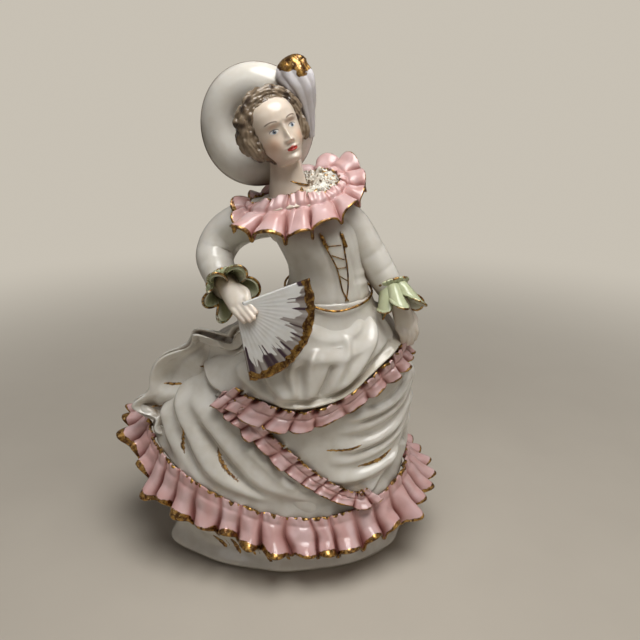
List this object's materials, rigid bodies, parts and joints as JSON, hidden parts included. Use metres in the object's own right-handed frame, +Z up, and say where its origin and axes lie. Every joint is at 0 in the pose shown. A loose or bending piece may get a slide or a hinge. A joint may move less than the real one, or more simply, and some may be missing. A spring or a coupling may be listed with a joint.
{
  "type": "porcelain lady figurine",
  "caption": "Standing porcelain lady in a bustled, draped dress with pleated pink ruffles, a wide hat and an open fan, on a closed flared skirt base.",
  "frame": {"origin": "on the flat underside, 1 mm left of and 2 mm in front of the centre of the oval foot", "axes": "+Z up, -Y towards the front of the figure, +X towards the viewer's right, which is the lady's left"},
  "size_m": [0.1357, 0.0889, 0.2031],
  "materials": {
    "white_glaze": "glossy clear glaze over warm white porcelain",
    "pink_glaze": "glossy dusty-pink glaze with gold lustre on the free edges",
    "green_glaze": "glossy pale green glaze with gold lustre on the free edges",
    "painted_skin": "cream flesh tint under a thin glaze",
    "painted_hair": "brushed grey-brown overglaze paint",
    "gold_lustre": "fired liquid gold, bright where thick and brown where thin",
    "bisque": "unglazed matt porcelain"
  },
  "bodies": {
    "root": {"foot_plate": "bisque", "petticoat": "white_glaze", "skirt": "white_glaze", "bodice": "white_glaze", "head": "painted_skin", "hair": "painted_hair", "overskirt": "white_glaze", "apron": "white_glaze", "bustle": "white_glaze", "hem_ruffle": "pink_glaze", "overskirt_ruffle": "pink_glaze", "apron_ruffle": "pink_glaze", "bustle_drape": "white_glaze", "belt_cord": "gold_lustre", "front_lacing": "gold_lustre", "right_sleeve": "white_glaze", "left_sleeve": "white_glaze", "right_hand": "painted_skin", "left_hand": "painted_skin", "right_cuff": "green_glaze", "left_cuff": "green_glaze", "fan": "white_glaze", "necklace": "gold_lustre", "pendant": "gold_lustre", "collar_ruffle": "pink_glaze", "neckline_lace": "white_glaze", "hat": "white_glaze", "plume": "white_glaze"}
  },
  "joints": []
}
